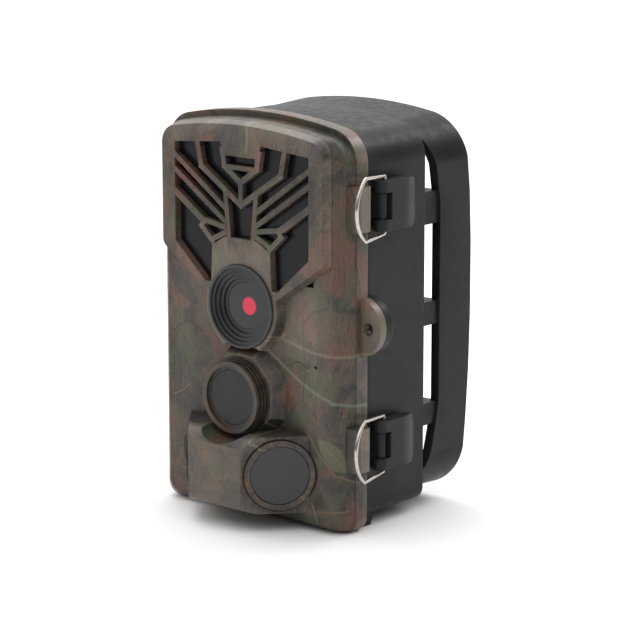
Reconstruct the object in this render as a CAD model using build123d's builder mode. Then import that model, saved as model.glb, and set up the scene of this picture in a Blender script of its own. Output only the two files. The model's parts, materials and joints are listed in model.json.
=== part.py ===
from build123d import *
import os
from math import atan2, cos, degrees, radians, sin, sqrt

os.makedirs("parts", exist_ok=True)

# Millimetres. X is to the right seen from the front, Y runs to the back, Z is up.
# The origin is the mouth of the tripod thread, at the middle of the base.
SEAM_Y = -16.0
RIM_HALF = 41.4
HOUSING_HALF = 40.2
TOP_Z = 137.2
ARCH_R = 167.0
CORNER_R = 11.0
FACE_Y = SEAM_Y - 12.0
CREASE_Y = SEAM_Y - 5.6
PANEL_Y = SEAM_Y - 15.6
BULGE_Y = SEAM_Y - 29.6
HOUSING_BACK_Y = SEAM_Y + 31.4
WALL = 2.2
BASE_STEP_Z = 3.7
CAMERA_Z = 73.0
SENSOR_Z = 43.0
BULGE_Z = 19.5
PLINTH_R = 17.7
PLINTH_RISE = 4.6
HINGE_X = -44.5
HINGE_Y = SEAM_Y
HINGE_PIN_R = 1.2
KNUCKLE_R = 2.6
LATCH_Z = (109.1, 29.1)
LATCH_X = 43.2
LATCH_Y = SEAM_Y + 4.9
BARREL_R = 1.7
LEVER_R = 2.7
LEVER_LONG = 16.6
LATCH_PIN_R = 0.8
WIRE_R = 0.62
BAIL_X = 43.1
BAIL_Y = SEAM_Y + 6.5
BAIL_TILT = 11.0
LUG_X = 39.5
LUG_Z = 69.5
LUG_R = 10.0
PADLOCK_X = 44.3
PADLOCK_R = 2.0
TRIPOD_R = 3.175
TRIPOD_DEPTH = 7.0
BRACKET_HALF = 40.0
BRACKET_TOP = 135.1
BRACKET_LOW = 4.9
BRACKET_WALL = 3.4
BRACKET_CORNER = 15.0
BOARD_Y = SEAM_Y - 7.4
PANEL_INNER_Y = SEAM_Y - 2.6
SEAT_GAP = 0.1


def front(y):
    """Sketch plane facing the front at depth y: local x is X, local y is Z."""
    return Plane(origin=(0, y, 0), x_dir=(1, 0, 0), z_dir=(0, -1, 0))


def side(x):
    """Sketch plane facing +X: local x is Y, local y is Z."""
    return Plane(origin=(x, 0, 0), x_dir=(0, 1, 0), z_dir=(1, 0, 0))


def arch(half, top, bottom, radius, corner, foot=None):
    """Outline with an arched top and rounded corners, as a private face in local x, y."""
    drop = radius - sqrt(radius * radius - half * half)
    with BuildSketch(mode=Mode.PRIVATE) as outline:
        with BuildLine():
            Polyline((-half, top - drop), (-half, bottom), (half, bottom), (half, top - drop))
            ThreePointArc((half, top - drop), (0, top), (-half, top - drop))
        make_face()
        fillet(outline.vertices().group_by(Axis.Y)[-1], corner)
        fillet(outline.vertices().group_by(Axis.Y)[0], foot or corner * 0.45)
    return outline.sketch


def polygon_xz(points):
    """Closed private polygon in local x, y."""
    with BuildSketch(mode=Mode.PRIVATE) as shape:
        with BuildLine():
            Polyline(*points, close=True)
        make_face()
    return shape.sketch


def strip(start, end, width):
    """Private bar of a given width between two points, with extended ends."""
    dx = end[0] - start[0]
    dz = end[1] - start[1]
    long = sqrt(dx * dx + dz * dz)
    with BuildSketch(mode=Mode.PRIVATE) as bar:
        with Locations(Location((start[0] + dx / 2, start[1] + dz / 2), degrees(atan2(dz, dx)))):
            Rectangle(long + width * 0.8, width)
    return bar.sketch


# ---------------------------------------------------------------- rear housing
HINGE_HOUSING_Z = ((36.0, 45.0), (54.8, 63.8), (73.6, 82.6))
HINGE_COVER_Z = ((45.4, 54.4), (64.2, 73.2))
TRAY_SCREWS = ((-33.6, 18.0), (33.6, 18.0), (-33.6, 119.5), (33.6, 119.5))

with BuildPart() as rear_housing:
    with BuildSketch(front(SEAM_Y + 0.15)):
        add(arch(HOUSING_HALF, TOP_Z - 1.8, BASE_STEP_Z, ARCH_R, CORNER_R))
    extrude(amount=-(HOUSING_BACK_Y - SEAM_Y - 0.15), taper=0.2)
    with BuildSketch(front(SEAM_Y + 0.15)):
        add(arch(HOUSING_HALF - WALL, TOP_Z - 1.8 - WALL, BASE_STEP_Z + WALL, ARCH_R - WALL,
                 CORNER_R - WALL))
    extrude(amount=-(HOUSING_BACK_Y - SEAM_Y - 0.15 - WALL), taper=0.2, mode=Mode.SUBTRACT)
    with BuildSketch(side(0)):
        add(polygon_xz(((SEAM_Y + 0.15, 0), (SEAM_Y + 7.0, 0), (SEAM_Y + 8.6, BASE_STEP_Z),
                        (SEAM_Y + 8.6, 6.0), (SEAM_Y + 0.15, 6.0))))
    extrude(amount=HOUSING_HALF - 3, both=True)
    with BuildSketch(Plane.XY):
        Circle(7.5)
    extrude(amount=BASE_STEP_Z + WALL + 4.6)
    with BuildSketch(Plane.XY):
        Circle(4.6)
    extrude(amount=TRIPOD_DEPTH + 1.0, mode=Mode.SUBTRACT)
    with BuildSketch(front(SEAM_Y + 0.15)):
        with Locations((LUG_X, LUG_Z)):
            Circle(LUG_R)
        with Locations((LUG_X - 11.0, LUG_Z)):
            Rectangle(22, 26, mode=Mode.SUBTRACT)
    extrude(amount=-3.2)
    with BuildSketch(front(SEAM_Y)):
        with Locations((PADLOCK_X, LUG_Z)):
            Circle(PADLOCK_R)
    extrude(amount=-4, mode=Mode.SUBTRACT)
    for low, high in HINGE_HOUSING_Z:
        with BuildSketch(Plane.XY.offset(low)):
            with Locations((HINGE_X, HINGE_Y)):
                Circle(KNUCKLE_R)
            with Locations(((HINGE_X - HOUSING_HALF) / 2, HINGE_Y + 1.5)):
                Rectangle(-HINGE_X - HOUSING_HALF + 1.6, 2.2)
        extrude(amount=high - low)
    with BuildSketch(Plane.XY.offset(30)):
        with Locations((HINGE_X, HINGE_Y)):
            Circle(HINGE_PIN_R + 0.04)
    extrude(amount=60, mode=Mode.SUBTRACT)
    for latch in LATCH_Z:
        with BuildSketch(Plane.XY.offset(latch - 4.15)):
            with Locations((LATCH_X, LATCH_Y)):
                Circle(BARREL_R)
            with Locations(((LATCH_X + HOUSING_HALF) / 2 - 0.7, LATCH_Y)):
                Rectangle(LATCH_X - HOUSING_HALF + 1.4, 2 * BARREL_R)
        extrude(amount=8.3)
        with BuildSketch(Plane.XY.offset(latch - 5)):
            with Locations((LATCH_X, LATCH_Y)):
                Circle(LATCH_PIN_R + 0.04)
        extrude(amount=10, mode=Mode.SUBTRACT)
    with BuildSketch(front(HOUSING_BACK_Y - WALL)):
        with Locations(*TRAY_SCREWS):
            Circle(3.2)
    extrude(amount=9.0)
    with BuildSketch(front(HOUSING_BACK_Y - WALL)):
        with Locations(*TRAY_SCREWS):
            Circle(1.25)
    extrude(amount=9.5, mode=Mode.SUBTRACT)
rear_housing.part.label = "rear_housing"
export_step(rear_housing.part, "parts/rear_housing.step")

with BuildPart() as tripod_insert:
    with BuildSketch(Plane.XY):
        Circle(4.5)
        Circle(TRIPOD_R, mode=Mode.SUBTRACT)
    extrude(amount=TRIPOD_DEPTH)
    with BuildSketch(Plane.XY.offset(TRIPOD_DEPTH)):
        Circle(4.5)
    extrude(amount=0.9)
    for height in (1.6, 3.9):
        with BuildSketch(Plane.XY.offset(height)):
            Circle(4.6)
            Circle(4.15, mode=Mode.SUBTRACT)
        extrude(amount=0.7, mode=Mode.SUBTRACT)
tripod_insert.part.label = "tripod_insert"
export_step(tripod_insert.part, "parts/tripod_insert.step")

with BuildPart() as hinge_pin:
    with BuildSketch(Plane.XY.offset(35.2)):
        with Locations((HINGE_X, HINGE_Y)):
            Circle(HINGE_PIN_R)
    extrude(amount=48.2)
    with BuildSketch(Plane.XY.offset(34.0)):
        with Locations((HINGE_X, HINGE_Y)):
            Circle(2.0)
    extrude(amount=1.2)
    chamfer(hinge_pin.faces().sort_by(Axis.Z)[-1].edges(), 0.4)
hinge_pin.part.label = "hinge_pin"
export_step(hinge_pin.part, "parts/hinge_pin.step")

with BuildPart() as latch_pins:
    for latch in LATCH_Z:
        with BuildSketch(Plane.XY.offset(latch - 8.1)):
            with Locations((LATCH_X, LATCH_Y)):
                Circle(LATCH_PIN_R)
        extrude(amount=16.2)
latch_pins.part.label = "latch_pins"
export_step(latch_pins.part, "parts/latch_pins.step")

GASKET_Y = SEAM_Y + 1.2
with BuildPart() as housing_gasket:
    with BuildSketch(front(GASKET_Y)):
        add(arch(HOUSING_HALF - WALL - 0.2, TOP_Z - 4.2, 6.1, ARCH_R - 2.4, CORNER_R - 2.4))
        add(arch(HOUSING_HALF - WALL - 2.15, TOP_Z - 6.15, 8.1, ARCH_R - 4.35, CORNER_R - 4.35),
            mode=Mode.SUBTRACT)
    extrude(amount=-3.0)
    with BuildSketch(front(GASKET_Y)):
        add(arch(HOUSING_HALF - WALL - 0.75, TOP_Z - 4.75, 6.7, ARCH_R - 2.95, CORNER_R - 2.95))
        add(arch(HOUSING_HALF - WALL - 1.75, TOP_Z - 5.75, 7.7, ARCH_R - 3.95, CORNER_R - 3.95),
            mode=Mode.SUBTRACT)
    extrude(amount=0.7)
housing_gasket.part.label = "housing_gasket"
export_step(housing_gasket.part, "parts/housing_gasket.step")

# ---------------------------------------------------------------- battery tray
TRAY_FRONT_Y = SEAM_Y + 5.0
TRAY_BACK_Y = HOUSING_BACK_Y - WALL - 9.2
CELL_R = 7.15
CELL_LONG = 49.5
CELL_X = (-22.8, -7.6, 7.6, 22.8)
CELL_LOW_Z = (15.6, 69.6)
CELL_Y = SEAM_Y + 9.6

with BuildPart() as battery_tray:
    with BuildSketch(front(TRAY_FRONT_Y)):
        with Locations((0, 68.5)):
            RectangleRounded(74.4, 115.0, 5)
    extrude(amount=-(TRAY_BACK_Y - TRAY_FRONT_Y))
    for low in CELL_LOW_Z:
        with BuildSketch(front(TRAY_FRONT_Y - 1)):
            with Locations((0, low + CELL_LONG / 2)):
                RectangleRounded(62.4, CELL_LONG + 2.4, 1.5)
        extrude(amount=-6.0, mode=Mode.SUBTRACT)
        for across in CELL_X:
            with BuildSketch(Plane.XY.offset(low - 1.2)):
                with Locations((across, CELL_Y)):
                    Circle(CELL_R + 0.3)
            extrude(amount=CELL_LONG + 2.4, mode=Mode.SUBTRACT)
    with BuildSketch(front(TRAY_FRONT_Y - 1)):
        with Locations(*TRAY_SCREWS):
            Circle(1.7)
    extrude(amount=-30, mode=Mode.SUBTRACT)
    with BuildSketch(front(TRAY_FRONT_Y - 1)):
        with Locations(*TRAY_SCREWS):
            Circle(3.2)
    extrude(amount=-4.0, mode=Mode.SUBTRACT)
battery_tray.part.label = "battery_tray"
export_step(battery_tray.part, "parts/battery_tray.step")

with BuildPart() as battery_cells:
    for row, low in enumerate(CELL_LOW_Z):
        for column, across in enumerate(CELL_X):
            up = (row + column) % 2 == 0
            body_low = low if up else low + 1.4
            with BuildSketch(Plane.XY.offset(body_low)):
                with Locations((across, CELL_Y)):
                    Circle(CELL_R)
            extrude(amount=CELL_LONG - 1.4)
            with BuildSketch(Plane.XY.offset(low + CELL_LONG - 1.4 if up else low)):
                with Locations((across, CELL_Y)):
                    Circle(2.7)
            extrude(amount=1.4)
battery_cells.part.label = "battery_cells"
export_step(battery_cells.part, "parts/battery_cells.step")

with BuildPart() as battery_contacts:
    for low in CELL_LOW_Z:
        for across in CELL_X:
            for height in (low - 1.1, low + CELL_LONG + 0.5):
                with BuildSketch(Plane.XY.offset(height)):
                    with Locations((across, CELL_Y - 0.8)):
                        RectangleRounded(8.4, 7.4, 1.0)
                extrude(amount=0.6)
battery_contacts.part.label = "battery_contacts"
export_step(battery_contacts.part, "parts/battery_contacts.step")

with BuildPart() as tray_screws:
    with BuildSketch(front(TRAY_FRONT_Y + 2.95)):
        with Locations(*TRAY_SCREWS):
            Circle(1.2)
    extrude(amount=-14.0)
    with BuildSketch(front(TRAY_FRONT_Y + 2.95)):
        with Locations(*TRAY_SCREWS):
            Circle(2.8)
    extrude(amount=2.0)
    with BuildSketch(front(TRAY_FRONT_Y + 0.95)):
        with Locations(*TRAY_SCREWS):
            Rectangle(3.6, 0.7)
            Rectangle(0.7, 3.6)
    extrude(amount=-1.0, mode=Mode.SUBTRACT)
tray_screws.part.label = "tray_screws"
export_step(tray_screws.part, "parts/tray_screws.step")

# ---------------------------------------------------------------- tree bracket
BACK_GAP_Y = HOUSING_BACK_Y + 0.12
BACK_GAP = BACK_GAP_Y - SEAM_Y
BRACKET_TAPER = -3.0
REAR_EDGE = ((49.0, 0), (50.8, 8), (52.4, 18), (53.6, 30), (54.7, 46), (55.3, 64), (55.3, 90), (54.5, 108),
             (53.2, 120), (51.4, 130), (50.0, 138))
FRONT_EDGE = ((BACK_GAP, 138), (BACK_GAP, 128.8), (33.4, 126.6), (35.6, 122.6), (37.4, 118), (38.4, 112),
              (39.3, 106), (39.4, 100), (39.4, 38), (38.6, 33), (37.4, 27), (35.8, 20.5), (33.6, 15),
              (BACK_GAP, 12.2), (BACK_GAP, 0))
CROSS_BARS = ((98.5, 109.5), (64.0, 72.0), (29.5, 37.0))
CROSS_BAR_BACK_Y = SEAM_Y + 40.2
PAD_HALF = 24.0
PAD_EDGE = ((BACK_GAP, 29.5), (33.8, 29.5), (33.8, 38), (36.4, 64), (36.9, 72), (36.9, 109.5),
            (BACK_GAP, 109.5))
PAD_HOLES = ((-12.0, 104.0), (12.0, 104.0), (-12.0, 33.2), (12.0, 33.2))

with BuildPart() as rear_bracket:
    with BuildSketch(side(0)):
        add(polygon_xz([(SEAM_Y + y, z) for y, z in REAR_EDGE + FRONT_EDGE]))
    extrude(amount=BRACKET_HALF + 2, both=True)
    with BuildSketch(front(BACK_GAP_Y - 0.1)):
        add(arch(BRACKET_HALF, BRACKET_TOP, BRACKET_LOW, ARCH_R, BRACKET_CORNER, BRACKET_CORNER))
    extrude(amount=-28, taper=BRACKET_TAPER, mode=Mode.INTERSECT)
    with BuildSketch(front(BACK_GAP_Y - 0.1)):
        add(arch(BRACKET_HALF - BRACKET_WALL, BRACKET_TOP - BRACKET_WALL, BRACKET_LOW + BRACKET_WALL,
                 ARCH_R - BRACKET_WALL, BRACKET_CORNER - BRACKET_WALL, BRACKET_CORNER - BRACKET_WALL))
    extrude(amount=-28, taper=BRACKET_TAPER, mode=Mode.SUBTRACT)
    for low, high in CROSS_BARS:
        with BuildSketch(front(BACK_GAP_Y)):
            with Locations((0, (low + high) / 2)):
                Rectangle(2 * BRACKET_HALF - 1.0, high - low)
                Rectangle(2 * PAD_HALF - 14, high - low, mode=Mode.SUBTRACT)
        extrude(amount=BACK_GAP_Y - CROSS_BAR_BACK_Y)
    with BuildSketch(side(0)):
        add(polygon_xz([(SEAM_Y + y, z) for y, z in PAD_EDGE]))
    extrude(amount=PAD_HALF, both=True)
    with BuildSketch(front(BACK_GAP_Y - 1)):
        with Locations((0, 69.0)):
            RectangleRounded(26, 44, 4)
    extrude(amount=-12, mode=Mode.SUBTRACT)
    with BuildSketch(front(BACK_GAP_Y - 1)):
        with Locations(*PAD_HOLES):
            Circle(1.7)
    extrude(amount=-12, mode=Mode.SUBTRACT)
    for height in (76.5, 88.5):
        with BuildSketch(Plane.XY.offset(height - 0.7)):
            for hand in (-1, 1):
                with Locations((hand * (PAD_HALF - 1.5), SEAM_Y + 37.6)):
                    Rectangle(3.0, 2.2)
        extrude(amount=1.4)
rear_bracket.part.label = "rear_bracket"
export_step(rear_bracket.part, "parts/rear_bracket.step")

with BuildPart() as bracket_screws:
    for across, height in PAD_HOLES:
        seat = SEAM_Y + (36.9 if height > 60 else 33.8)
        with BuildSketch(front(seat + SEAT_GAP)):
            with Locations((across, height)):
                Circle(3.0)
        extrude(amount=-1.7)
        with BuildSketch(front(seat + SEAT_GAP)):
            with Locations((across, height)):
                Circle(1.5)
        extrude(amount=seat + SEAT_GAP - BACK_GAP_Y)
        with BuildSketch(front(seat + SEAT_GAP + 1.7)):
            with Locations((across, height)):
                Rectangle(4.0, 0.8)
                Rectangle(0.8, 4.0)
        extrude(amount=0.9, mode=Mode.SUBTRACT)
bracket_screws.part.label = "bracket_screws"
export_step(bracket_screws.part, "parts/bracket_screws.step")

# ---------------------------------------------------------------- front cover
PANEL_SCREWS = ((-32.6, 20.0), (32.6, 20.0), (-32.6, 70.0), (32.6, 70.0), (-32.6, 118.0), (32.6, 118.0))
FACET_IN = (11.6, BULGE_Y)
FACET_OUT = (26.5, FACE_Y)
SIDE_AXIS_X = 11.6 + 13.3 * 0.646
SIDE_AXIS_Y = BULGE_Y + 13.3 * 0.763


def facet_plane(hand, lift):
    """Plane of one slanted sensor facet, moved outward by lift; local y is Z."""
    normal = Vector(0.763 * hand, -0.646, 0)
    centre = Vector(SIDE_AXIS_X * hand, SIDE_AXIS_Y, BULGE_Z) + normal * lift
    return Plane(origin=centre, x_dir=(0.646, 0.763 * hand, 0), z_dir=normal)


with BuildPart() as front_cover:
    with BuildSketch(front(SEAM_Y)):
        add(arch(RIM_HALF, TOP_Z, 0, ARCH_R, CORNER_R))
    extrude(amount=5.6)
    with BuildSketch(front(CREASE_Y)):
        add(arch(RIM_HALF - 0.3, TOP_Z - 2.1, 0.3, ARCH_R, CORNER_R - 0.8))
    with BuildSketch(front(SEAM_Y - 9.2)):
        add(arch(RIM_HALF - 1.6, TOP_Z - 2.2, 1.1, ARCH_R - 1.0, CORNER_R - 1.0))
    loft(ruled=True)
    with BuildSketch(front(SEAM_Y - 9.2)):
        add(arch(RIM_HALF - 1.6, TOP_Z - 2.2, 1.1, ARCH_R - 1.0, CORNER_R - 1.0))
    with BuildSketch(front(FACE_Y)):
        add(arch(RIM_HALF - 4.8, TOP_Z - 2.7, 3.2, ARCH_R - 3.0, CORNER_R - 2.0))
    loft(ruled=True)
    with BuildSketch(Plane.XY.offset(6.5)):
        add(polygon_xz(((-FACET_IN[0], FACET_IN[1]), FACET_IN, FACET_OUT, (26.5, FACE_Y + 2),
                        (-26.5, FACE_Y + 2), (-26.5, FACE_Y))))
    extrude(amount=26.0)
    fillet(front_cover.edges().filter_by(
        lambda e: abs(e.center().Z - 32.5) < 0.1 and e.center().Y < BULGE_Y + 1), 7.0)
    fillet(front_cover.edges().filter_by(
        lambda e: abs(e.center().Z - 6.5) < 0.1 and e.center().Y < BULGE_Y + 1), 5.0)
    with BuildSketch(front(FACE_Y)):
        with Locations((0, SENSOR_Z)):
            RegularPolygon(PLINTH_R, 8, rotation=22.5)
    extrude(amount=PLINTH_RISE, taper=30)
    with BuildSketch(front(FACE_Y - PLINTH_RISE)):
        with Locations((0, SENSOR_Z)):
            Circle(14.3)
    extrude(amount=20, mode=Mode.SUBTRACT)
    with BuildSketch(front(SEAM_Y)):
        add(arch(RIM_HALF - 2.4, TOP_Z - 2.6, 2.4, ARCH_R - 2.4, CORNER_R - 2.4))
    extrude(amount=6.4, mode=Mode.SUBTRACT)
    with BuildSketch(front(SEAM_Y - 6.4)):
        add(arch(RIM_HALF - 6.6, TOP_Z - 6.6, 6.0, ARCH_R - 6.6, CORNER_R - 5.0))
    extrude(amount=3.4, mode=Mode.SUBTRACT)
    with BuildSketch(Plane.XY.offset(9.0)):
        add(polygon_xz(((-9.8, BULGE_Y + 2.4), (9.8, BULGE_Y + 2.4),
                        (22.8, FACE_Y + 0.5), (22.8, FACE_Y + 3.0),
                        (-22.8, FACE_Y + 3.0), (-22.8, FACE_Y + 0.5))))
    extrude(amount=17.4, mode=Mode.SUBTRACT)
    with BuildSketch(front(PANEL_INNER_Y - 0.1)):
        with Locations(*PANEL_SCREWS):
            Circle(2.6)
    extrude(amount=7.4)
    with BuildSketch(front(PANEL_INNER_Y)):
        with Locations(*PANEL_SCREWS):
            Circle(1.1)
    extrude(amount=6.0, mode=Mode.SUBTRACT)
    with BuildSketch(front(FACE_Y + 4)):
        with Locations((0, 103.5)):
            Rectangle(57.0, 42.0)
        with Locations((0, CAMERA_Z)):
            Circle(8.6)
        with Locations((0, SENSOR_Z)):
            Circle(10.5)
    extrude(amount=12, mode=Mode.SUBTRACT)
    for hand in (-1, 1):
        with BuildSketch(facet_plane(hand, -1.1)):
            Circle(12.2)
        extrude(amount=6, mode=Mode.SUBTRACT)
        with BuildSketch(facet_plane(hand, -1.1)):
            Circle(11.9)
            Circle(10.0, mode=Mode.SUBTRACT)
        extrude(amount=1.8)
        with BuildSketch(facet_plane(hand, -5)):
            Circle(8.2)
        extrude(amount=6, mode=Mode.SUBTRACT)
    with BuildSketch(front(SEAM_Y)):
        with Locations((LUG_X, LUG_Z)):
            Circle(LUG_R)
        with Locations((LUG_X - 11.0, LUG_Z)):
            Rectangle(22, 26, mode=Mode.SUBTRACT)
    extrude(amount=3.2)
    with BuildSketch(front(SEAM_Y + 1)):
        with Locations((PADLOCK_X, LUG_Z)):
            Circle(PADLOCK_R + 0.2)
    extrude(amount=8, mode=Mode.SUBTRACT)
    for latch in LATCH_Z:
        with BuildSketch(Plane.XY.offset(latch - 7.4)):
            add(polygon_xz(((39.6, SEAM_Y - 2.2), (44.3, SEAM_Y - 2.2), (44.8, SEAM_Y - 2.8),
                            (44.8, SEAM_Y - 7.4), (43.8, SEAM_Y - 8.6), (38.4, SEAM_Y - 8.6))))
        extrude(amount=14.8)
    for low, high in HINGE_COVER_Z:
        with BuildSketch(Plane.XY.offset(low)):
            with Locations((HINGE_X, HINGE_Y)):
                Circle(KNUCKLE_R)
            with Locations((-42.4, HINGE_Y - 1.5)):
                Rectangle(4.2, 2.2)
        extrude(amount=high - low)
        with BuildSketch(Plane.XY.offset(low - 1)):
            with Locations((HINGE_X, HINGE_Y)):
                Circle(HINGE_PIN_R + 0.06)
        extrude(amount=high - low + 2, mode=Mode.SUBTRACT)
    with BuildSketch(front(FACE_Y + 5)):
        with Locations((29.4, 56.0)):
            Circle(0.6)
    extrude(amount=8, mode=Mode.SUBTRACT)
front_cover.part.label = "front_cover"
export_step(front_cover.part, "parts/front_cover.step")

# ---------------------------------------------------------------- raised face panel with the grille
WINDOW_EDGE = ((-29.5, 125.6), (-9.0, 127.4), (-7.0, 123.0), (7.0, 123.0), (9.0, 127.4), (29.5, 125.6),
               (29.5, 92.0), (16.0, 79.8), (13.4, 79.8), (12.8, 92.5), (7.0, 95.8), (-7.0, 95.8),
               (-12.8, 92.5), (-13.4, 79.8), (-16.0, 79.8), (-29.5, 92.0))
GRILLE = (((-19.3, 127.0), (-17.5, 118.5), 2.0), ((-17.5, 118.5), (0.0, 107.0), 2.0),
          ((-8.0, 125.0), (-7.0, 119.5), 2.0), ((-7.0, 119.5), (0.0, 114.5), 2.0),
          ((-29.8, 121.5), (-6.3, 105.0), 1.8), ((-29.8, 116.5), (-6.3, 100.5), 1.8),
          ((-29.8, 109.0), (-16.5, 100.0), 2.3), ((-16.5, 100.5), (-6.3, 98.8), 1.8),
          ((-17.8, 98.5), (-12.6, 93.6), 1.8), ((-12.8, 94.3), (-6.0, 97.5), 1.8),
          ((-6.8, 110.5), (-5.3, 96.0), 1.8), ((-6.0, 119.3), (0.0, 119.3), 1.6),
          ((0.0, 114.5), (0.0, 107.5), 1.8))
CAMERA_RIM_R = 14.1

with BuildSketch(mode=Mode.PRIVATE) as panel_outline:
    with BuildLine():
        Polyline((-35.3, 129.8), (-35.3, 90.5), (-15.0, 76.6), (15.0, 76.6), (35.3, 90.5), (35.3, 129.8))
        ThreePointArc((35.3, 129.8), (0, 133.5), (-35.3, 129.8))
    make_face()
    fillet(panel_outline.vertices().group_by(Axis.Y)[-1], 6.0)
    fillet(panel_outline.vertices().filter_by(lambda v: abs(v.Y - 90.5) < 0.1), 3.0)
    with Locations((0, CAMERA_Z)):
        Circle(15.6)
with BuildSketch(mode=Mode.PRIVATE) as grille_bars:
    for start, end, width in GRILLE:
        add(strip(start, end, width))
        add(strip((-start[0], start[1]), (-end[0], end[1]), width))

with BuildPart() as face_panel:
    with BuildSketch(front(FACE_Y - 0.05)):
        add(offset(panel_outline.sketch, 1.1))
    extrude(amount=FACE_Y - 0.05 - PANEL_Y, taper=17)
    with BuildSketch(front(FACE_Y + 1)):
        add(polygon_xz(WINDOW_EDGE))
    extrude(amount=8, mode=Mode.SUBTRACT)
    with BuildSketch(front(PANEL_Y + 2.3)):
        add(grille_bars.sketch)
    extrude(amount=2.3)
    with BuildSketch(front(FACE_Y + 1)):
        with Locations((0, CAMERA_Z)):
            Circle(CAMERA_RIM_R + 0.1)
        with Locations((0, SENSOR_Z)):
            RegularPolygon(PLINTH_R + 0.3, 8, rotation=22.5)
    extrude(amount=8, mode=Mode.SUBTRACT)
face_panel.part.label = "face_panel"
export_step(face_panel.part, "parts/face_panel.step")

with BuildPart() as ir_window:
    with BuildSketch(front(FACE_Y - 0.1)):
        add(offset(polygon_xz(WINDOW_EDGE), -0.25, kind=Kind.INTERSECTION))
    extrude(amount=0.9)
ir_window.part.label = "ir_window"
export_step(ir_window.part, "parts/ir_window.step")

LED_BOARD_Y = SEAM_Y - 8.2
LED_PLACES = [(-24.0 + 6.0 * i, 87.0 + 6.4 * j)
              for i in range(9) for j in range(6) if j > 0 or abs(i - 4) < 2]
with BuildPart() as led_board:
    with BuildSketch(front(LED_BOARD_Y)):
        with Locations((0, 103.2)):
            RectangleRounded(56.0, 41.4, 2)
    extrude(amount=1.3)
led_board.part.label = "led_board"
export_step(led_board.part, "parts/led_board.step")

with BuildPart() as led_domes:
    with BuildSketch(front(LED_BOARD_Y - 1.35)):
        with Locations(*LED_PLACES):
            Circle(2.1)
    extrude(amount=1.9)
    fillet(led_domes.faces().filter_by(Axis.Y).sort_by(Axis.Y)[:len(LED_PLACES)].edges(), 0.8)
led_domes.part.label = "led_domes"
export_step(led_domes.part, "parts/led_domes.step")


def ring_steps(plane_y, height, steps, outer):
    """Stepped ring built forward from plane_y: steps are (inner radius, rise) pairs, rising outward."""
    with BuildPart(mode=Mode.PRIVATE) as ring:
        with BuildSketch(front(plane_y)):
            with Locations((0, height)):
                Circle(outer)
        extrude(amount=steps[-1][1])
        for index, (inner, _) in enumerate(steps):
            floor = 0 if index == 0 else steps[index - 1][1]
            with BuildSketch(front(plane_y - floor)):
                with Locations((0, height)):
                    Circle(inner)
            extrude(amount=20, mode=Mode.SUBTRACT)
    return ring.part


with BuildPart() as camera_bezel:
    add(ring_steps(FACE_Y - 0.05, CAMERA_Z, ((8.0, 1.2), (9.4, 2.0), (10.7, 2.8), (12.0, 3.6), (13.2, 4.3)),
                   CAMERA_RIM_R))
camera_bezel.part.label = "camera_bezel"
export_step(camera_bezel.part, "parts/camera_bezel.step")

with BuildPart() as camera_window:
    with BuildSketch(front(FACE_Y - 0.15)):
        with Locations((0, CAMERA_Z)):
            Circle(7.9)
    extrude(amount=0.9)
camera_window.part.label = "camera_window"
export_step(camera_window.part, "parts/camera_window.step")

with BuildPart() as lens_barrel:
    with BuildSketch(front(BOARD_Y - 0.05)):
        with Locations((0, CAMERA_Z)):
            Rectangle(14.0, 14.0)
            Circle(3.0, mode=Mode.SUBTRACT)
    extrude(amount=2.0)
    with BuildSketch(front(BOARD_Y - 2.05)):
        with Locations((0, CAMERA_Z)):
            Circle(6.4)
            Circle(3.0, mode=Mode.SUBTRACT)
    extrude(amount=2.2)
    with BuildSketch(front(BOARD_Y - 3.6)):
        with Locations((0, CAMERA_Z)):
            Circle(4.6)
    extrude(amount=3, mode=Mode.SUBTRACT)
lens_barrel.part.label = "lens_barrel"
export_step(lens_barrel.part, "parts/lens_barrel.step")

with BuildPart() as camera_lens:
    with BuildSketch(front(BOARD_Y - 0.9)):
        with Locations((0, CAMERA_Z)):
            Circle(2.9)
    extrude(amount=3.0)
    fillet(camera_lens.faces().sort_by(Axis.Y)[0].edges(), 1.2)
camera_lens.part.label = "camera_lens"
export_step(camera_lens.part, "parts/camera_lens.step")

with BuildPart() as image_sensor:
    with BuildSketch(front(BOARD_Y - 0.05)):
        with Locations((0, CAMERA_Z)):
            Rectangle(3.9, 3.9)
    extrude(amount=0.8)
image_sensor.part.label = "image_sensor"
export_step(image_sensor.part, "parts/image_sensor.step")

SENSOR_BASE_Y = FACE_Y - PLINTH_RISE - 0.05
with BuildPart() as sensor_bezel:
    for radius, low, high in ((13.4, 0, 0.7), (12.7, 0.7, 1.0), (13.0, 1.0, 1.9), (12.2, 1.9, 2.2),
                              (12.6, 2.2, 3.1), (11.7, 3.1, 3.4), (12.1, 3.4, 4.85)):
        with BuildSketch(front(SENSOR_BASE_Y - low)):
            with Locations((0, SENSOR_Z)):
                Circle(radius)
        extrude(amount=high - low)
    with BuildSketch(front(SENSOR_BASE_Y + 1)):
        with Locations((0, SENSOR_Z)):
            Circle(8.5)
    extrude(amount=12, mode=Mode.SUBTRACT)
    with BuildSketch(front(SENSOR_BASE_Y - 2.6)):
        with Locations((0, SENSOR_Z)):
            Circle(9.4)
    extrude(amount=12, mode=Mode.SUBTRACT)
    with BuildSketch(front(SENSOR_BASE_Y - 4.0)):
        with Locations((0, SENSOR_Z)):
            Circle(10.4)
    extrude(amount=12, mode=Mode.SUBTRACT)
sensor_bezel.part.label = "sensor_bezel"
export_step(sensor_bezel.part, "parts/sensor_bezel.step")

with BuildPart() as sensor_window:
    with BuildSketch(front(SENSOR_BASE_Y - 2.65)):
        with Locations((0, SENSOR_Z)):
            Circle(9.3)
    extrude(amount=1.25)
sensor_window.part.label = "sensor_window"
export_step(sensor_window.part, "parts/sensor_window.step")

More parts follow.
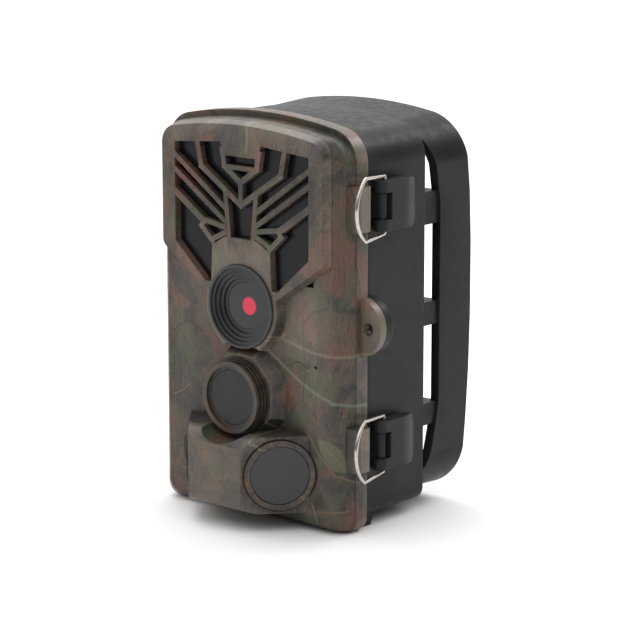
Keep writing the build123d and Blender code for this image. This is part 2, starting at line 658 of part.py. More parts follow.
with BuildPart() as side_windows:
    for hand in (-1, 1):
        with BuildSketch(facet_plane(hand, -1.0)):
            Circle(9.85)
        extrude(amount=1.3)
side_windows.part.label = "side_windows"
export_step(side_windows.part, "parts/side_windows.step")

with BuildPart() as motion_detectors:
    for hand in (-1, 1):
        with BuildSketch(facet_plane(hand, -8.4)):
            Circle(4.2)
        extrude(amount=4.4)
        with BuildSketch(facet_plane(hand, -8.4)):
            Circle(4.7)
        extrude(amount=0.5)
    with BuildSketch(front(BOARD_Y - 0.05)):
        with Locations((0, SENSOR_Z)):
            Circle(4.7)
    extrude(amount=0.6)
    with BuildSketch(front(BOARD_Y - 0.05)):
        with Locations((0, SENSOR_Z)):
            Circle(4.2)
    extrude(amount=4.4)
motion_detectors.part.label = "motion_detectors"
export_step(motion_detectors.part, "parts/motion_detectors.step")

# ---------------------------------------------------------------- boards and inner panel
KEYS = (("key_menu", -20.0, 52.0), ("key_up", 0.0, 52.0), ("key_left", -12.0, 40.0), ("key_ok", 0.0, 40.0),
        ("key_right", 12.0, 40.0), ("key_down", 0.0, 28.0))
KEY_R = 3.8
LCD_Z = 92.0
SWITCH_X = -24.0
SWITCH_Z = 28.0
SWITCH_TRAVEL = 3.0
CARD_X = -12.0
USB_X = 14.0
SOCKET_Z = 14.0

with BuildPart() as main_board:
    with BuildSketch(front(BOARD_Y + 1.6)):
        with Locations((0, 68.0)):
            RectangleRounded(58.6, 118.0, 2.5)
    extrude(amount=1.6)
main_board.part.label = "main_board"
export_step(main_board.part, "parts/main_board.step")

with BuildPart() as board_parts:
    with BuildSketch(front(BOARD_Y + 1.65)):
        for _, across, height in KEYS:
            with Locations((across, height)):
                Rectangle(5.4, 5.4)
        with Locations((SWITCH_X, SWITCH_Z)):
            Rectangle(4.6, 11.0)
        with Locations((20.0, 62.0)):
            Rectangle(9.0, 9.0)
        with Locations((-18.0, 64.5)):
            Rectangle(8.0, 6.0)
    extrude(amount=-0.75)
board_parts.part.label = "board_parts"
export_step(board_parts.part, "parts/board_parts.step")

with BuildPart() as inner_panel:
    with BuildSketch(front(PANEL_INNER_Y + 1.8)):
        add(arch(RIM_HALF - 2.7, TOP_Z - 2.9, 2.7, ARCH_R - 2.7, CORNER_R - 2.7))
    extrude(amount=1.8)
    with BuildSketch(front(PANEL_INNER_Y + 3)):
        with Locations((0, LCD_Z)):
            RectangleRounded(49.2, 37.2, 1.0)
        for _, across, height in KEYS:
            with Locations((across, height)):
                Circle(KEY_R + 0.3)
        with Locations((SWITCH_X, SWITCH_Z)):
            RectangleRounded(3.8, 10.2, 1.0)
        with Locations((CARD_X, SOCKET_Z)):
            Rectangle(15.4, 4.4)
        with Locations((USB_X, SOCKET_Z)):
            Rectangle(9.8, 4.8)
        with Locations(*PANEL_SCREWS):
            Circle(1.5)
    extrude(amount=6, mode=Mode.SUBTRACT)
inner_panel.part.label = "inner_panel"
export_step(inner_panel.part, "parts/inner_panel.step")

with BuildPart() as lcd_screen:
    with BuildSketch(front(PANEL_INNER_Y - 0.1)):
        with Locations((0, LCD_Z)):
            RectangleRounded(53.0, 41.0, 1.0)
    extrude(amount=2.3)
    with BuildSketch(front(PANEL_INNER_Y - 0.1)):
        with Locations((0, LCD_Z)):
            RectangleRounded(48.6, 36.6, 0.8)
    extrude(amount=-1.3)
lcd_screen.part.label = "lcd_screen"
export_step(lcd_screen.part, "parts/lcd_screen.step")

for key_name, across, height in KEYS:
    with BuildPart() as key:
        with BuildSketch(front(PANEL_INNER_Y + 3.0)):
            with Locations((across, height)):
                Circle(KEY_R)
        extrude(amount=3.8)
        fillet(key.faces().sort_by(Axis.Y)[-1].edges(), 0.5)
        with BuildSketch(front(PANEL_INNER_Y - 0.35)):
            with Locations((across, height)):
                Circle(KEY_R + 0.8)
        extrude(amount=0.9)
    key.part.label = key_name
    export_step(key.part, "parts/" + key_name + ".step")

with BuildPart() as mode_switch:
    with BuildSketch(front(PANEL_INNER_Y - 0.3)):
        with Locations((SWITCH_X, SWITCH_Z - SWITCH_TRAVEL)):
            Rectangle(5.0, 5.6)
    extrude(amount=1.0)
    with BuildSketch(front(PANEL_INNER_Y + 3.2)):
        with Locations((SWITCH_X, SWITCH_Z - SWITCH_TRAVEL)):
            Rectangle(3.2, 3.4)
    extrude(amount=3.6)
    with BuildSketch(front(PANEL_INNER_Y + 3.3)):
        with Locations((SWITCH_X, SWITCH_Z - SWITCH_TRAVEL - 0.9),
                       (SWITCH_X, SWITCH_Z - SWITCH_TRAVEL + 0.9)):
            Rectangle(5, 0.5)
    extrude(amount=0.5, mode=Mode.SUBTRACT)
mode_switch.part.label = "mode_switch"
export_step(mode_switch.part, "parts/mode_switch.step")

with BuildPart() as card_socket:
    with BuildSketch(front(PANEL_INNER_Y + 1.4)):
        with Locations((CARD_X, SOCKET_Z)):
            Rectangle(14.8, 3.8)
    extrude(amount=PANEL_INNER_Y + 1.4 - BOARD_Y - 1.65)
    with BuildSketch(front(PANEL_INNER_Y + 1.5)):
        with Locations((CARD_X, SOCKET_Z)):
            Rectangle(12.0, 1.3)
    extrude(amount=3.4, mode=Mode.SUBTRACT)
card_socket.part.label = "card_socket"
export_step(card_socket.part, "parts/card_socket.step")

with BuildPart() as usb_socket:
    with BuildSketch(front(PANEL_INNER_Y + 1.4)):
        with Locations((USB_X, SOCKET_Z)):
            RectangleRounded(9.2, 4.2, 0.8)
    extrude(amount=PANEL_INNER_Y + 1.4 - BOARD_Y - 1.65)
    with BuildSketch(front(PANEL_INNER_Y + 1.5)):
        with Locations((USB_X, SOCKET_Z)):
            RectangleRounded(8.2, 3.2, 0.6)
            Rectangle(5.4, 0.8, mode=Mode.SUBTRACT)
    extrude(amount=3.4, mode=Mode.SUBTRACT)
usb_socket.part.label = "usb_socket"
export_step(usb_socket.part, "parts/usb_socket.step")

with BuildPart() as panel_screws:
    with BuildSketch(front(PANEL_INNER_Y + 1.85)):
        with Locations(*PANEL_SCREWS):
            Circle(1.0)
    extrude(amount=7.0)
    with BuildSketch(front(PANEL_INNER_Y + 1.85)):
        with Locations(*PANEL_SCREWS):
            Circle(2.3)
    extrude(amount=-1.3)
    with BuildSketch(front(PANEL_INNER_Y + 3.2)):
        with Locations(*PANEL_SCREWS):
            Rectangle(3.0, 0.6)
            Rectangle(0.6, 3.0)
    extrude(amount=0.8, mode=Mode.SUBTRACT)
panel_screws.part.label = "panel_screws"
export_step(panel_screws.part, "parts/panel_screws.step")

# ---------------------------------------------------------------- latches
BAIL_DIR = Vector(sin(radians(BAIL_TILT)), -cos(radians(BAIL_TILT)), 0)
BAIL_NEAR = 9.45
BAIL_FAR = 10.3
BAIL_ARM = 13.1
BAIL_REACH = 18.9

for name, latch in (("upper", LATCH_Z[0]), ("lower", LATCH_Z[1])):
    with BuildPart() as lever:
        with BuildSketch(Plane.XY.offset(latch - LEVER_LONG / 2)):
            with Locations((LATCH_X, LATCH_Y)):
                Circle(LEVER_R)
            with BuildLine():
                Polyline((42.2, SEAM_Y + 22.5), (41.5, SEAM_Y + 20.5), (41.5, SEAM_Y + 8), (41.5, LATCH_Y),
                         (LATCH_X + LEVER_R, LATCH_Y), (LATCH_X + LEVER_R, SEAM_Y + 13))
                ThreePointArc((LATCH_X + LEVER_R, SEAM_Y + 13), (45.0, SEAM_Y + 18.6), (42.9, SEAM_Y + 22.8))
                Line((42.9, SEAM_Y + 22.8), (42.2, SEAM_Y + 22.5))
            make_face()
        extrude(amount=LEVER_LONG)
        with BuildSketch(side(30)):
            with Locations((SEAM_Y + 10.4, latch)):
                RectangleRounded(24.8, LEVER_LONG, 5.0)
            with Locations((SEAM_Y + 4, latch)):
                Rectangle(20, LEVER_LONG)
        extrude(amount=30, mode=Mode.INTERSECT)
        with BuildSketch(side(30)):
            with Locations((SEAM_Y + 2, latch)):
                Rectangle(10, 8.9)
        extrude(amount=30, mode=Mode.SUBTRACT)
        with BuildSketch(Plane.XY.offset(latch - 10)):
            with Locations((LATCH_X, LATCH_Y)):
                Circle(LATCH_PIN_R + 0.06)
        extrude(amount=20, mode=Mode.SUBTRACT)
        for low in (latch - 10.0, latch + 6.6):
            with BuildSketch(Plane.XY.offset(low)):
                with Locations((BAIL_X, BAIL_Y)):
                    Circle(WIRE_R + 0.07)
            extrude(amount=3.4, mode=Mode.SUBTRACT)
    lever.part.label = "lever_" + name
    export_step(lever.part, "parts/lever_" + name + ".step")

    bail_plane = Plane(origin=(BAIL_X, BAIL_Y, latch), x_dir=BAIL_DIR, z_dir=BAIL_DIR.cross(Vector(0, 0, 1)))
    with BuildPart() as bail:
        with BuildLine(bail_plane) as wire:
            Polyline((0, -7.0), (0, -BAIL_NEAR), (BAIL_ARM, -BAIL_FAR))
            ThreePointArc((BAIL_ARM, -BAIL_FAR), (BAIL_REACH, 0), (BAIL_ARM, BAIL_FAR))
            Polyline((BAIL_ARM, BAIL_FAR), (0, BAIL_NEAR), (0, 7.0))
        with BuildSketch(Plane(origin=(BAIL_X, BAIL_Y, latch - 7.0), z_dir=(0, 0, 1))):
            Circle(WIRE_R)
        sweep(path=wire.line, transition=Transition.ROUND)
    bail.part.label = "bail_" + name
    export_step(bail.part, "parts/bail_" + name + ".step")
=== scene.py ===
import bpy, json, math
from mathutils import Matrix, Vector


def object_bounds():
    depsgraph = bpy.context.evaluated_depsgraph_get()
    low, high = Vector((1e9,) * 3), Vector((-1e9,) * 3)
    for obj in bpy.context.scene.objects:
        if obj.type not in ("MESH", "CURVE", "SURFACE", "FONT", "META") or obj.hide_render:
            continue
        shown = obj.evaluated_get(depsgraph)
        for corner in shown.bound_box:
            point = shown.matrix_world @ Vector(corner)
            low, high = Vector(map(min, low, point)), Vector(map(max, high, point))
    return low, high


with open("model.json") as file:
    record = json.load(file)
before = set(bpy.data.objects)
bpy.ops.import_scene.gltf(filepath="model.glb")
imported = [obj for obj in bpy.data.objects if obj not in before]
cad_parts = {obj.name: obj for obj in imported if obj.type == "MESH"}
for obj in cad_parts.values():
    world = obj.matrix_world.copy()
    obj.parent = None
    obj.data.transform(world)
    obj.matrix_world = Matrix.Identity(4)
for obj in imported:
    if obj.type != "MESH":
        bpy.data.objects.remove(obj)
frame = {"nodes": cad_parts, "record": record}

cad_box = [list(map(float, corner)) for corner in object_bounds()]
nodes = frame["nodes"]

# camera place and aim in metres, lens in millimetres on a 36 mm wide sensor
CAMERA_PLACE = (0.5928, -0.6869, 0.2588)
CAMERA_AIM = (0.0122, -0.0056, 0.06592)
LENS_MM = 153.26
SENSOR_MM = 36.0

# ------------------------------------------------------------------ camera
camera = bpy.data.objects.new("camera", bpy.data.cameras.new("camera"))
bpy.context.scene.collection.objects.link(camera)
camera.location = CAMERA_PLACE
aim = Vector(CAMERA_AIM) - camera.location
camera.rotation_euler = aim.to_track_quat("-Z", "Y").to_euler()
camera.data.sensor_width = SENSOR_MM
camera.data.lens = LENS_MM
camera.data.clip_start = 0.01
bpy.context.scene.camera = camera
bpy.context.scene.view_settings.view_transform = "Standard"


# ------------------------------------------------------------------ node helper
class Tree:
    """Short calls for building a shader node tree."""

    def __init__(self, tree):
        self.t = tree

    def node(self, kind, **props):
        n = self.t.nodes.new(kind)
        for key, value in props.items():
            setattr(n, key, value)
        return n

    def put(self, socket, value):
        if isinstance(value, bpy.types.NodeSocket):
            self.t.links.new(value, socket)
        elif value is not None:
            if hasattr(socket.default_value, "__len__") and not hasattr(value, "__len__"):
                value = [value] * len(socket.default_value)
            if hasattr(value, "__len__") and len(socket.default_value) == 4 and len(value) == 3:
                value = (*value, 1.0)
            socket.default_value = value

    def m(self, op, a, b=None, c=None, clamp=False):
        n = self.node("ShaderNodeMath", operation=op, use_clamp=clamp)
        for i, v in enumerate((a, b, c)):
            self.put(n.inputs[i], v)
        return n.outputs[0]

    def step(self, value, low, high, out_low=0.0, out_high=1.0):
        n = self.node("ShaderNodeMapRange", interpolation_type="SMOOTHSTEP")
        for i, v in enumerate((value, low, high, out_low, out_high)):
            self.put(n.inputs[i], v)
        return n.outputs[0]

    def mix(self, factor, a, b, blend="MIX"):
        n = self.node("ShaderNodeMix", data_type="RGBA", blend_type=blend)
        self.put(n.inputs[0], factor)
        self.put(n.inputs[6], a)
        self.put(n.inputs[7], b)
        return n.outputs[2]

    def noise(self, vector, scale, detail=3.0, rough=0.5, distortion=0.0):
        n = self.node("ShaderNodeTexNoise")
        self.put(n.inputs["Vector"], vector)
        n.inputs["Scale"].default_value = scale
        n.inputs["Detail"].default_value = detail
        n.inputs["Roughness"].default_value = rough
        n.inputs["Distortion"].default_value = distortion
        return n.outputs["Fac"]

    def combine(self, x, y, z=0.0):
        n = self.node("ShaderNodeCombineXYZ")
        for i, v in enumerate((x, y, z)):
            self.put(n.inputs[i], v)
        return n.outputs[0]

    def group(self, group, *values):
        n = self.node("ShaderNodeGroup", node_tree=group)
        for socket, value in zip(n.inputs, values):
            self.put(socket, value)
        return n.outputs


def group_tree(name, inputs, outputs):
    """Node group of float sockets, with its tree helper and its inner ends."""
    tree = bpy.data.node_groups.new(name, "ShaderNodeTree")
    for word in inputs:
        tree.interface.new_socket(word, in_out="INPUT", socket_type="NodeSocketFloat")
    for word in outputs:
        tree.interface.new_socket(word, in_out="OUTPUT", socket_type="NodeSocketFloat")
    t = Tree(tree)
    return tree, t, t.node("NodeGroupInput").outputs, t.node("NodeGroupOutput").inputs


# leaf: pointed oval with a midrib and side veins, in print millimetres
LEAF, t, gi, go = group_tree("leaf", ("u", "v", "cu", "cv", "cos", "sin", "long", "wide"), ("mask", "vein"))
du = t.m("SUBTRACT", gi[0], gi[2])
dv = t.m("SUBTRACT", gi[1], gi[3])
along = t.m("ADD", t.m("MULTIPLY", du, gi[4]), t.m("MULTIPLY", dv, gi[5]))
across = t.m("SUBTRACT", t.m("MULTIPLY", dv, gi[4]), t.m("MULTIPLY", du, gi[5]))
ratio = t.m("DIVIDE", along, gi[6])
inside = t.m("SUBTRACT", 1.0, t.m("MULTIPLY", ratio, ratio), clamp=True)
side = t.m("ABSOLUTE", across)
edge = t.m("SUBTRACT", t.m("MULTIPLY", inside, gi[7]), side)
t.put(go[0], t.step(edge, 0.0, 0.5))
rib = t.step(side, 0.32, 0.1)
ribs = t.m("SINE", t.m("MULTIPLY", t.m("SUBTRACT", along, side), 2.4))
t.put(go[1], t.m("MAXIMUM", rib, t.step(ribs, 0.75, 1.0, 0.0, 0.5)))

# segment: capsule between two points, brightest along its middle
SEGMENT, t, gi, go = group_tree("segment", ("u", "v", "au", "av", "bu", "bv", "half"), ("mask",))
pu = t.m("SUBTRACT", gi[0], gi[2])
pv = t.m("SUBTRACT", gi[1], gi[3])
eu = t.m("SUBTRACT", gi[4], gi[2])
ev = t.m("SUBTRACT", gi[5], gi[3])
dot = t.m("ADD", t.m("MULTIPLY", pu, eu), t.m("MULTIPLY", pv, ev))
size = t.m("ADD", t.m("MULTIPLY", eu, eu), t.m("MULTIPLY", ev, ev))
part = t.m("DIVIDE", dot, size, clamp=True)
ru = t.m("SUBTRACT", pu, t.m("MULTIPLY", eu, part))
rv = t.m("SUBTRACT", pv, t.m("MULTIPLY", ev, part))
gap = t.m("SQRT", t.m("ADD", t.m("MULTIPLY", ru, ru), t.m("MULTIPLY", rv, rv)))
t.put(go[0], t.step(t.m("DIVIDE", gap, gi[6]), 1.0, 0.35))


# ------------------------------------------------------------------ materials
def start(name):
    """Empty material with a principled shader and object coordinates in millimetres."""
    mat = bpy.data.materials.new(name)
    mat.use_nodes = True
    mat.node_tree.nodes.clear()
    t = Tree(mat.node_tree)
    out = t.node("ShaderNodeOutputMaterial")
    shader = t.node("ShaderNodeBsdfPrincipled")
    t.put(out.inputs[0], shader.outputs[0])
    coords = t.node("ShaderNodeTexCoord").outputs["Object"]
    mm = t.node("ShaderNodeVectorMath", operation="SCALE")
    t.put(mm.inputs[0], coords)
    mm.inputs["Scale"].default_value = 1000.0
    return mat, t, shader, mm.outputs[0]


def bump(t, shader, height, distance, strength=1.0, radius=0.0003):
    """Fine relief over softly rounded edges."""
    b = t.node("ShaderNodeBump")
    b.inputs["Strength"].default_value = strength
    b.inputs["Distance"].default_value = distance
    t.put(b.inputs["Height"], height)
    if radius:
        bevel = t.node("ShaderNodeBevel", samples=4)
        bevel.inputs["Radius"].default_value = radius
        t.put(b.inputs["Normal"], bevel.outputs[0])
    t.put(shader.inputs["Normal"], b.outputs[0])


def outer_edge_mask(t, low=0.52, high=0.6):
    """One on outer edges, zero on flats."""
    return t.step(t.node("ShaderNodeNewGeometry").outputs["Pointiness"], low, high)


def plastic(name, color, rough=0.5, grain=3.0, depth=0.00003, lift=1.5, coat=0.0, radius=0.0003,
            gloss=0.35):
    """Moulded plastic or rubber: speckle, soft blotches, paler outer edges, grain bump."""
    mat, t, shader, mm = start(name)
    blotch = t.noise(mm, 0.09, 3.0)
    speck = t.noise(mm, grain, 2.0)
    light = [min(1.0, c * lift + 0.002) for c in color]
    base = t.mix(t.step(blotch, 0.35, 0.7), color, light)
    # outer edges paler, towards about twice the base colour
    base = t.mix(t.m("MULTIPLY", outer_edge_mask(t), 0.5), base, [min(1.0, c * 2.2 + 0.01) for c in color])
    t.put(shader.inputs["Base Color"], base)
    spread = 0.06
    t.put(shader.inputs["Roughness"],
          t.step(t.noise(mm, 0.35, 4.0), 0.3, 0.75, rough - spread, rough + spread))
    shader.inputs["Specular IOR Level"].default_value = gloss
    shader.inputs["Coat Weight"].default_value = coat
    shader.inputs["Coat Roughness"].default_value = 0.15
    bump(t, shader, speck, depth, 1.0, radius)
    return mat


# painted reflection of the coated lens, a red-pink spot that the camera window emits: place and radius in
# millimetres, colour, strength
PAINTED_REFLECTION_X = 1.4
PAINTED_REFLECTION_Z = 73.0
PAINTED_REFLECTION_R = 2.9
PAINTED_REFLECTION_RED = (0.78, 0.012, 0.05)
PAINTED_REFLECTION_STRENGTH = 0.75

# print strokes in millimetres on the front: u is across, v is height
# twigs: points, half width, tint
TWIGS = [
    (((4, 68), (9, 65.5), (15, 63.4), (24, 61.6), (32, 60.6), (40, 60.4), (60, 61)), 0.8, 0),
    (((1, 64.5), (10, 58), (20, 52), (29, 47.4), (36, 45), (60, 43)), 0.85, 3),
    (((3, 61.5), (8, 64), (13, 62.5), (16, 65.5)), 0.6, 0),
    (((11.5, 36.5), (13.5, 31), (20, 27)), 0.55, 3),
    (((22, 15), (28, 9.5), (31, 2)), 0.55, 0),
    (((25.5, 34), (31.5, 26), (37, 21), (60, 15)), 0.4, 1),
    (((30, 7.4), (44, 8.2)), 0.45, 1),
    (((24.5, 78), (24, 66), (25, 56), (24, 44)), 0.3, 2),
    (((24.3, 70), (29, 74.5), (36, 77)), 0.3, 2),
    (((17, 55), (22, 57), (28, 55)), 0.35, 2),
    (((25, 43), (31, 38.5), (36, 36)), 0.3, 2),
    (((-34, 60), (-27, 64), (-20, 61)), 0.4, 2),
    (((-35, 37), (-30, 39.5), (-27, 42)), 0.4, 1),
    (((2.2, 136), (3, 131), (2.6, 125)), 0.8, 3),
    (((-30, 12), (-14, 12.6)), 0.45, 1),
    (((44, 118), (49, 106), (47, 92), (51, 78)), 0.4, 2),
]
# leaves: centre, angle in degrees, half length, half width, tint
LEAVES = [
    (-29.5, 75.5, -38, 9.0, 3.2, 1), (-9, 129.0, 60, 6.0, 3.4, 1), (-14.5, 127, 35, 4.5, 2.2, 2),
    (32.5, 111, 62, 9.0, 2.6, 4), (37, 27, -38, 8.5, 4.2, 0), (37, 10, 40, 8.0, 3.6, 3),
    (19, 47, 78, 9.0, 3.4, 2), (30, 100, 40, 8.0, 2.6, 3), (-35, 103, 80, 8.0, 2.6, 2),
    (-33, 46, 85, 9.0, 3.0, 4), (-31.5, 22, 86, 9.0, 2.8, 3), (26, 70, -70, 8.0, 3.0, 2),
    (45, 84, 60, 8.0, 3.2, 3), (46, 34, 70, 9.0, 3.4, 4), (44, 126, 70, 7.0, 3.0, 3),
    (22, 12, 20, 8.0, 2.8, 3),
]
LEAF_TINTS = [(0.16, 0.16, 0.11), (0.045, 0.045, 0.045), (0.16, 0.088, 0.062),
              (0.085, 0.095, 0.062), (0.05, 0.05, 0.047)]
TWIG_TINTS = [(0.2, 0.17, 0.13), (0.21, 0.145, 0.1), (0.03, 0.028, 0.026), (0.17, 0.2, 0.165)]

# print colours before the contrast step
BARK_GREY = (0.06, 0.055, 0.053)
BARK_BROWN = (0.125, 0.1, 0.082)
MOSS = (0.088, 0.098, 0.064)
RUST = (0.155, 0.092, 0.072)
STREAK_LIGHT = (0.19, 0.165, 0.135)
STREAK_DARK = (0.026, 0.025, 0.025)
SPECK_LIGHT = (0.19, 0.165, 0.14)
SPECK_DARK = (0.02, 0.02, 0.019)
PALE_EDGE_TINT = (0.34, 0.3, 0.27)
LARGE_LITTER = ((0.04, 0.04, 0.037), (0.115, 0.112, 0.078), (0.15, 0.098, 0.07))
SMALL_LITTER = ((0.17, 0.155, 0.12), (0.03, 0.029, 0.028), (0.08, 0.088, 0.06))
PRINT_GAMMA = 1.6
FRONT_FACE_Y = -28.0


def leaf_litter(t, u, v, base, scale, seed, tints, stretch=2.4, amount=0.62):
    """One leaf or bark flake in every random cell, each at its own angle and tint.

    scale is cells per millimetre, seed moves the pattern, stretch is length over width, and amount is the
    share of cells with a flake.
    """
    cells = t.node("ShaderNodeTexVoronoi", voronoi_dimensions="2D", feature="F1")
    cells.inputs["Scale"].default_value = 1.0
    cells.inputs["Randomness"].default_value = 1.0
    spot = t.combine(t.m("MULTIPLY_ADD", u, scale, seed), t.m("MULTIPLY_ADD", v, scale, seed * 0.37))
    t.put(cells.inputs["Vector"], spot)
    away = t.node("ShaderNodeVectorMath", operation="SUBTRACT")
    t.put(away.inputs[0], spot)
    t.put(away.inputs[1], cells.outputs["Position"])
    split = t.node("ShaderNodeSeparateXYZ")
    t.put(split.inputs[0], away.outputs[0])
    pick = t.node("ShaderNodeSeparateColor")
    t.put(pick.inputs[0], cells.outputs["Color"])
    turn = t.m("MULTIPLY", pick.outputs[0], 6.283)
    half = 0.62
    shape = t.group(LEAF, split.outputs[0], split.outputs[1], 0.0, 0.0, t.m("COSINE", turn),
                    t.m("SINE", turn), half, half / stretch)
    chosen = t.step(pick.outputs[1], amount, amount - 0.1)
    mask = t.m("MULTIPLY", t.step(shape[0], 0.0, 0.6), chosen)
    tint = t.mix(t.step(pick.outputs[2], 0.3, 0.34), tints[0], tints[1])
    tint = t.mix(t.step(pick.outputs[2], 0.66, 0.7), tint, tints[2])
    return t.mix(t.m("MULTIPLY", mask, 0.75), base, tint)


def camouflage(name, tone, strokes=True):
    """Printed woodland film: bark, leaf litter, single leaves and twigs, under a satin clear coat.

    The print lies flat on the front and folds over the sides and the top. tone sets how bright it is.
    """
    mat, t, shader, mm = start(name)
    split = t.node("ShaderNodeSeparateXYZ")
    t.put(split.inputs[0], mm)
    x, y, z = split.outputs
    back = t.m("MAXIMUM", t.m("ADD", y, -FRONT_FACE_Y), 0.0)
    waver = t.noise(mm, 0.12, 3.0)
    waver2 = t.noise(mm, 0.17, 3.0, distortion=0.6)
    on_side = t.m("MULTIPLY", back, t.step(t.m("ABSOLUTE", x), 30.0, 38.0))
    u = t.m("ADD", x, t.m("MULTIPLY", t.m("SIGN", x), on_side))
    v = t.m("ADD", z, t.m("MULTIPLY", back, t.step(z, 128.0, 133.0)))
    uw = t.m("MULTIPLY_ADD", t.m("SUBTRACT", waver, 0.5), 5.0, u)
    vw = t.m("MULTIPLY_ADD", t.m("SUBTRACT", waver2, 0.5), 5.0, v)
    us = t.m("MULTIPLY_ADD", t.m("SUBTRACT", waver, 0.5), 1.6, u)
    vs = t.m("MULTIPLY_ADD", t.m("SUBTRACT", waver2, 0.5), 1.6, v)
    flat = t.combine(uw, vw)
    patch = t.noise(flat, 0.045, 4.0, 0.6, 1.2)
    green = t.noise(flat, 0.06, 3.0, 0.5, 0.8)
    streaks = t.noise(t.combine(t.m("MULTIPLY", uw, 2.2), t.m("MULTIPLY", vw, 0.22)), 0.8, 5.0, 0.65)
    rust = t.noise(flat, 0.035, 3.0, 0.5, 1.0)
    base = t.mix(t.step(patch, 0.4, 0.6), BARK_GREY, BARK_BROWN)
    base = t.mix(t.step(green, 0.5, 0.62), base, MOSS)
    base = t.mix(t.step(rust, 0.53, 0.62, 0.0, 0.85), base, RUST)
    base = t.mix(t.step(streaks, 0.5, 0.72, 0.0, 0.45), base, STREAK_LIGHT)
    base = t.mix(t.step(streaks, 0.48, 0.3, 0.0, 0.7), base, STREAK_DARK)
    base = leaf_litter(t, uw, vw, base, 0.085, 3.1, LARGE_LITTER)
    base = leaf_litter(t, uw, vw, base, 0.14, 11.7, SMALL_LITTER, 3.2, 0.45)
    if strokes:
        for cu, cv, angle, long, wide, tint in LEAVES:
            a = math.radians(angle)
            got = t.group(LEAF, us, vs, cu, cv, math.cos(a), math.sin(a), long, wide)
            veins = [c * 1.7 + 0.01 for c in LEAF_TINTS[tint]]
            leaf = t.mix(t.m("MULTIPLY", got[1], 0.5), LEAF_TINTS[tint], veins)
            base = t.mix(t.m("MULTIPLY", got[0], 0.6), base, leaf)
        for points, half, tint in TWIGS:
            cover = None
            for (au, av), (bu, bv) in zip(points, points[1:]):
                mask = t.group(SEGMENT, us, vs, au, av, bu, bv, half)[0]
                cover = mask if cover is None else t.m("MAXIMUM", cover, mask)
            base = t.mix(t.m("MULTIPLY", cover, 0.7), base, TWIG_TINTS[tint])
    fine = t.noise(flat, 1.6, 4.0, 0.7)
    base = t.mix(t.step(fine, 0.4, 0.75, 0.0, 0.3), base, SPECK_LIGHT)
    base = t.mix(t.m("MULTIPLY", t.step(fine, 0.5, 0.25), 0.5), base, SPECK_DARK)
    # outer edges lightened towards a pale tan
    base = t.mix(t.m("MULTIPLY", outer_edge_mask(t, 0.53, 0.62), 0.3), base, PALE_EDGE_TINT)
    deep = t.node("ShaderNodeGamma")
    t.put(deep.inputs["Color"], base)
    deep.inputs["Gamma"].default_value = PRINT_GAMMA
    base = t.mix(1.0, deep.outputs[0], (tone, tone * 0.97, tone * 0.93), "MULTIPLY")
    t.put(shader.inputs["Base Color"], base)
    t.put(shader.inputs["Roughness"], t.step(t.noise(mm, 0.5, 4.0), 0.3, 0.7, 0.36, 0.5))
    shader.inputs["Specular IOR Level"].default_value = 0.35
    shader.inputs["Coat Weight"].default_value = 0.12
    shader.inputs["Coat Roughness"].default_value = 0.3
    bump(t, shader, t.noise(mm, 2.2, 3.0), 0.00003, 0.8, 0.0004)
    return mat


def metal(name, color, rough, brushed=False):
    """Plain or brushed metal with faint blotches."""
    mat, t, shader, mm = start(name)
    if brushed:
        stretch = t.node("ShaderNodeVectorMath", operation="MULTIPLY")
        t.put(stretch.inputs[0], mm)
        stretch.inputs[1].default_value = (6.0, 6.0, 0.3)
        mm = stretch.outputs[0]
    blotch = t.noise(mm, 0.8, 4.0)
    t.put(shader.inputs["Base Color"], t.mix(t.step(blotch, 0.3, 0.75), color, [c * 0.82 for c in color]))
    t.put(shader.inputs["Roughness"], t.step(blotch, 0.3, 0.7, rough * 0.75, rough * 1.35))
    shader.inputs["Metallic"].default_value = 1.0
    bump(t, shader, t.noise(mm, 4.0, 2.0), 0.00001, 0.6, 0.0001)
    return mat


def glassy(name, color, rough=0.06, coat=0.0, speck=0.0, gloss=0.4):
    """Window or lens sheet: deep colour, faint dust and a soft ripple in the reflection."""
    mat, t, shader, mm = start(name)
    dust = t.step(t.noise(mm, 2.6, 4.0, 0.7), 0.62, 0.75)
    t.put(shader.inputs["Base Color"], t.mix(t.m("MULTIPLY", dust, speck), color, (0.3, 0.3, 0.3)))
    t.put(shader.inputs["Roughness"], t.m("MULTIPLY_ADD", dust, 0.1, rough))
    shader.inputs["Specular IOR Level"].default_value = gloss
    shader.inputs["Coat Weight"].default_value = coat
    shader.inputs["Coat Roughness"].default_value = 0.04
    bump(t, shader, t.noise(mm, 0.25, 2.0), 0.00003, 0.3, 0.0001)
    return mat


def camera_window(name):
    """Dark glass with a painted reflection: a red-pink spot that it emits where the coated lens behind it
    shows.
    """
    mat, t, shader, mm = start(name)
    split = t.node("ShaderNodeSeparateXYZ")
    t.put(split.inputs[0], mm)
    across = t.m("SUBTRACT", split.outputs[0], PAINTED_REFLECTION_X)
    rise = t.m("SUBTRACT", split.outputs[2], PAINTED_REFLECTION_Z)
    away = t.m("SQRT", t.m("ADD", t.m("MULTIPLY", across, across), t.m("MULTIPLY", rise, rise)))
    # painted reflection: the window emits red-pink inside this round spot
    painted_reflection_spot = t.step(away, PAINTED_REFLECTION_R + 0.4, PAINTED_REFLECTION_R - 0.3)
    dust = t.step(t.noise(mm, 2.6, 4.0, 0.7), 0.6, 0.78)
    t.put(shader.inputs["Base Color"], t.mix(dust, (0.024, 0.022, 0.027), (0.034, 0.032, 0.037)))
    t.put(shader.inputs["Emission Color"], t.mix(painted_reflection_spot, (0.0, 0.0, 0.0), PAINTED_REFLECTION_RED))
    shader.inputs["Emission Strength"].default_value = PAINTED_REFLECTION_STRENGTH
    t.put(shader.inputs["Roughness"], t.m("MULTIPLY_ADD", dust, 0.08, 0.14))
    shader.inputs["Specular IOR Level"].default_value = 0.35
    bump(t, shader, t.noise(mm, 0.25, 2.0), 0.00003, 0.3, 0.0001)
    return mat


